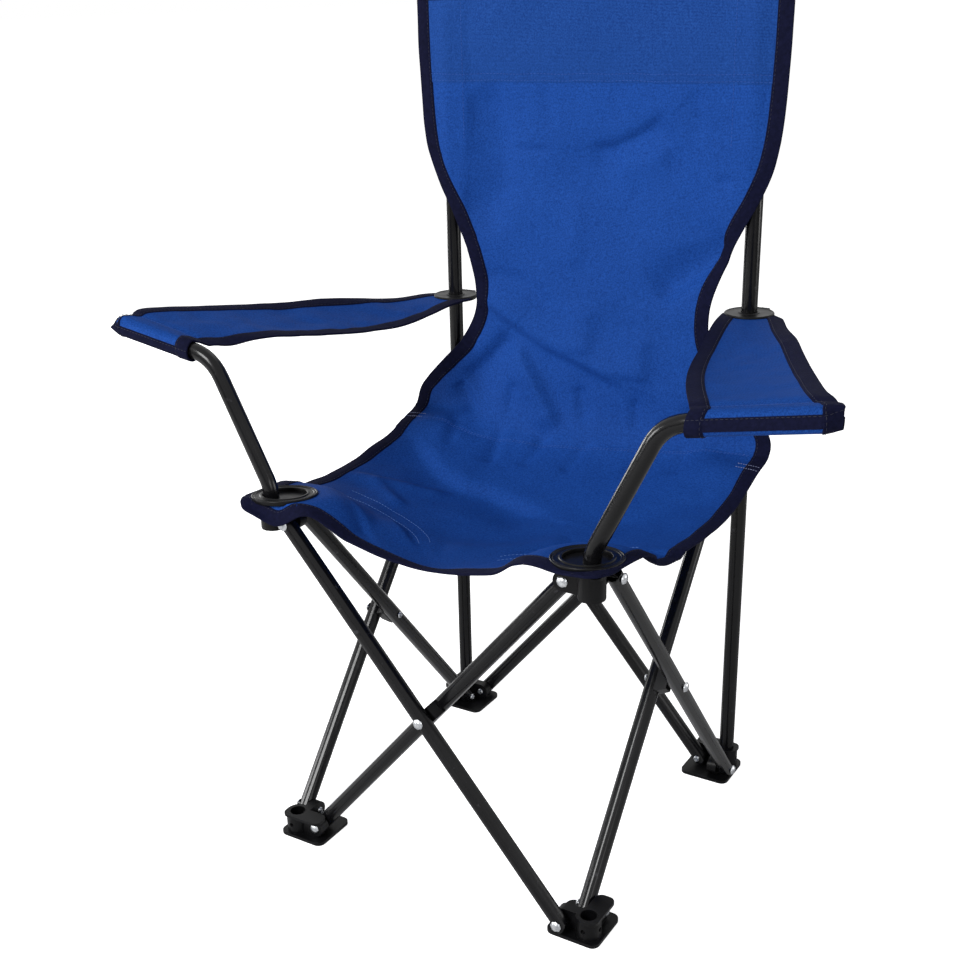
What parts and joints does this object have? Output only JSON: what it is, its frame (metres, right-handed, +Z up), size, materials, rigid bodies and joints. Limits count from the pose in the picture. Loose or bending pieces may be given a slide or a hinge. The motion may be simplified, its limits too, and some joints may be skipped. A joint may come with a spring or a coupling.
{
  "type": "folding camp chair",
  "caption": "Folding camp chair with a four-sided crossed-leg steel frame, slung fabric seat and back, and fabric armrests.",
  "frame": {"origin": "on the ground, at the middle of the overall box with the chair open", "axes": "+Z up, the sitter faces -Y, +X to the right of someone looking at the chair from its front"},
  "size_m": [0.7386, 0.4102, 0.8501],
  "materials": {
    "tube": "satin black",
    "plastic": "moulded",
    "rivet": "zinc plated",
    "cloth": "woven polyester"
  },
  "bodies": {
    "foot_rear_left": {"foot_rear_left": "plastic", "back_post_left": "tube", "back_upper": "cloth"},
    "foot_front_left": {"foot_front_left": "plastic"},
    "foot_front_right": {"foot_front_right": "plastic"},
    "foot_rear_right": {"foot_rear_right": "plastic", "back_post_right": "tube"},
    "leg_front_inner": {"leg_front_inner": "tube", "spacer_front": "plastic", "rivet_front_inner_foot": "rivet", "rivet_front_inner_hub": "rivet", "rivet_front_crossing": "rivet"},
    "leg_front_outer": {"leg_front_outer": "tube", "rivet_front_outer_foot": "rivet", "rivet_front_outer_hub": "rivet"},
    "leg_right_inner": {"leg_right_inner": "tube", "spacer_right": "plastic", "rivet_right_inner_foot": "rivet", "rivet_right_inner_hub": "rivet", "rivet_right_crossing": "rivet"},
    "leg_right_outer": {"leg_right_outer": "tube", "rivet_right_outer_foot": "rivet", "rivet_right_outer_hub": "rivet"},
    "leg_rear_inner": {"leg_rear_inner": "tube", "spacer_rear": "plastic", "rivet_rear_inner_foot": "rivet", "rivet_rear_inner_hub": "rivet", "rivet_rear_crossing": "rivet"},
    "leg_rear_outer": {"leg_rear_outer": "tube", "rivet_rear_outer_foot": "rivet", "rivet_rear_outer_hub": "rivet"},
    "leg_left_inner": {"leg_left_inner": "tube", "spacer_left": "plastic", "rivet_left_inner_foot": "rivet", "rivet_left_inner_hub": "rivet", "rivet_left_crossing": "rivet"},
    "leg_left_outer": {"leg_left_outer": "tube", "rivet_left_outer_foot": "rivet", "rivet_left_outer_hub": "rivet"},
    "hub_front_left": {"hub_front_left": "plastic", "arm_tube_left": "tube", "seat_ring_left": "plastic", "seat_corner_left": "cloth"},
    "hub_rear_left": {"hub_rear_left": "plastic", "armrest_ring_left": "plastic", "armrest_tab_left": "cloth"},
    "armrest_front_left": {"armrest_front_left": "cloth"},
    "armrest_rear_left": {"armrest_rear_left": "cloth"},
    "hub_front_right": {"hub_front_right": "plastic", "arm_tube_right": "tube", "seat_ring_right": "plastic", "seat_corner_right": "cloth"},
    "hub_rear_right": {"hub_rear_right": "plastic", "armrest_ring_right": "plastic", "armrest_tab_right": "cloth"},
    "armrest_front_right": {"armrest_front_right": "cloth"},
    "armrest_rear_right": {"armrest_rear_right": "cloth"},
    "seat_front": {"seat_front": "cloth"},
    "seat_rear": {"seat_rear": "cloth"},
    "back_lower": {"back_lower": "cloth"}
  },
  "joints": [
    {"name": "fold", "type": "hinge", "parent": "foot_rear_left", "child": "leg_left_inner", "pos_m": [-0.15963, 0.14913, 0.0134], "axis": [-1, 0, 0], "range_deg": [0, 35], "deforming": ["back_upper"]},
    {"name": "rear_outer_foot_pivot", "type": "hinge", "parent": "foot_rear_left", "child": "leg_rear_outer", "pos_m": [-0.14913, 0.18463, 0.0134], "axis": [0, -1, 0], "range_deg": [0, 35]},
    {"name": "left_inner_hub_pivot", "type": "hinge", "parent": "leg_left_inner", "child": "hub_front_left", "pos_m": [-0.15963, -0.14913, 0.36884], "axis": [1, 0, 0], "range_deg": [0, 35]},
    {"name": "rear_outer_hub_pivot", "type": "hinge", "parent": "leg_rear_outer", "child": "hub_rear_right", "pos_m": [0.14913, 0.18463, 0.36884], "axis": [0, 1, 0], "range_deg": [0, 35]},
    {"name": "left_crossing", "type": "hinge", "parent": "leg_left_inner", "child": "leg_left_outer", "pos_m": [-0.17513, 0, 0.19112], "axis": [1, 0, 0], "range_deg": [0, 70]},
    {"name": "rear_crossing", "type": "hinge", "parent": "leg_rear_outer", "child": "leg_rear_inner", "pos_m": [0, 0.17513, 0.19112], "axis": [0, 1, 0], "range_deg": [0, 70]},
    {"name": "left_outer_foot_pivot", "type": "hinge", "parent": "leg_left_outer", "child": "foot_front_left", "pos_m": [-0.18463, -0.14913, 0.0134], "axis": [-1, 0, 0], "range_deg": [0, 35]},
    {"name": "left_outer_hub_pivot", "type": "hinge", "parent": "leg_left_outer", "child": "hub_rear_left", "pos_m": [-0.18463, 0.14913, 0.36884], "axis": [-1, 0, 0], "range_deg": [0, 35]},
    {"name": "rear_inner_foot_pivot", "type": "hinge", "parent": "leg_rear_inner", "child": "foot_rear_right", "pos_m": [0.14913, 0.15963, 0.0134], "axis": [0, -1, 0], "range_deg": [0, 35]},
    {"name": "front_inner_foot_pivot", "type": "hinge", "parent": "foot_front_left", "child": "leg_front_inner", "pos_m": [-0.14913, -0.15963, 0.0134], "axis": [0, -1, 0], "range_deg": [0, 35]},
    {"name": "front_inner_hub_pivot", "type": "hinge", "parent": "leg_front_inner", "child": "hub_front_right", "pos_m": [0.14913, -0.15963, 0.36884], "axis": [0, 1, 0], "range_deg": [0, 35]},
    {"name": "front_outer_hub_pivot", "type": "hinge", "parent": "hub_front_left", "child": "leg_front_outer", "pos_m": [-0.14913, -0.18463, 0.36884], "axis": [0, 1, 0], "range_deg": [0, 35]},
    {"name": "front_outer_foot_pivot", "type": "hinge", "parent": "leg_front_outer", "child": "foot_front_right", "pos_m": [0.14913, -0.18463, 0.0134], "axis": [0, -1, 0], "range_deg": [0, 35]},
    {"name": "right_outer_foot_pivot", "type": "hinge", "parent": "foot_rear_right", "child": "leg_right_outer", "pos_m": [0.18463, 0.14913, 0.0134], "axis": [-1, 0, 0], "range_deg": [0, 35]},
    {"name": "right_inner_hub_pivot", "type": "hinge", "parent": "hub_rear_right", "child": "leg_right_inner", "pos_m": [0.15963, 0.14913, 0.36884], "axis": [1, 0, 0], "range_deg": [0, 35]},
    {"name": "seat_front_fold", "type": "hinge", "parent": "hub_front_left", "child": "seat_front", "pos_m": [0, -0.12913, 0.38865], "axis": [-1, 0, 0], "range_deg": [0, 85.6], "deforming": ["seat_front"]},
    {"name": "seat_rear_fold", "type": "hinge", "parent": "hub_rear_left", "child": "seat_rear", "pos_m": [0, 0.15013, 0.38865], "axis": [1, 0, 0], "range_deg": [0, 85.6], "deforming": ["seat_rear"]},
    {"name": "back_lower_fold", "type": "hinge", "parent": "hub_rear_left", "child": "back_lower", "pos_m": [0, 0.15013, 0.38865], "axis": [1, 0, 0], "range_deg": [0, 180], "deforming": ["back_lower"]},
    {"name": "armrest_front_fold_left", "type": "hinge", "parent": "hub_front_left", "child": "armrest_front_left", "pos_m": [-0.3, -0.17513, 0.53385], "axis": [-1, 0, 0], "range_deg": [0, 78.76], "deforming": ["armrest_front_left"]},
    {"name": "armrest_rear_fold_left", "type": "hinge", "parent": "hub_rear_left", "child": "armrest_rear_left", "pos_m": [-0.2, 0.14513, 0.518], "axis": [1, 0, 0], "range_deg": [0, 78.76], "deforming": ["armrest_rear_left"]},
    {"name": "armrest_front_fold_right", "type": "hinge", "parent": "hub_front_right", "child": "armrest_front_right", "pos_m": [0.3, -0.17513, 0.53385], "axis": [-1, 0, 0], "range_deg": [0, 78.76], "deforming": ["armrest_front_right"]},
    {"name": "armrest_rear_fold_right", "type": "hinge", "parent": "hub_rear_right", "child": "armrest_rear_right", "pos_m": [0.2, 0.14513, 0.53], "axis": [1, 0, 0], "range_deg": [0, 78.76], "deforming": ["armrest_rear_right"]}
  ],
  "couplings": [
    {"joint": "rear_outer_foot_pivot", "follows": "fold", "ratio": 1},
    {"joint": "left_inner_hub_pivot", "follows": "fold", "ratio": 1},
    {"joint": "rear_outer_hub_pivot", "follows": "fold", "ratio": 1},
    {"joint": "left_crossing", "follows": "fold", "ratio": 2},
    {"joint": "rear_crossing", "follows": "fold", "ratio": 2},
    {"joint": "left_outer_foot_pivot", "follows": "fold", "ratio": 1},
    {"joint": "left_outer_hub_pivot", "follows": "fold", "ratio": 1},
    {"joint": "rear_inner_foot_pivot", "follows": "fold", "ratio": 1},
    {"joint": "front_inner_foot_pivot", "follows": "fold", "ratio": 1},
    {"joint": "front_inner_hub_pivot", "follows": "fold", "ratio": 1},
    {"joint": "front_outer_hub_pivot", "follows": "fold", "ratio": 1},
    {"joint": "front_outer_foot_pivot", "follows": "fold", "ratio": 1},
    {"joint": "right_outer_foot_pivot", "follows": "fold", "ratio": 1},
    {"joint": "right_inner_hub_pivot", "follows": "fold", "ratio": 1},
    {"joint": "seat_front_fold", "follows": "fold", "ratio": 2.4456},
    {"joint": "seat_rear_fold", "follows": "fold", "ratio": 2.4456},
    {"joint": "back_lower_fold", "follows": "fold", "ratio": 5.1429},
    {"joint": "armrest_front_fold_left", "follows": "fold", "ratio": 2.2502},
    {"joint": "armrest_rear_fold_left", "follows": "fold", "ratio": 2.2502},
    {"joint": "armrest_front_fold_right", "follows": "fold", "ratio": 2.2502},
    {"joint": "armrest_rear_fold_right", "follows": "fold", "ratio": 2.2502}
  ]
}
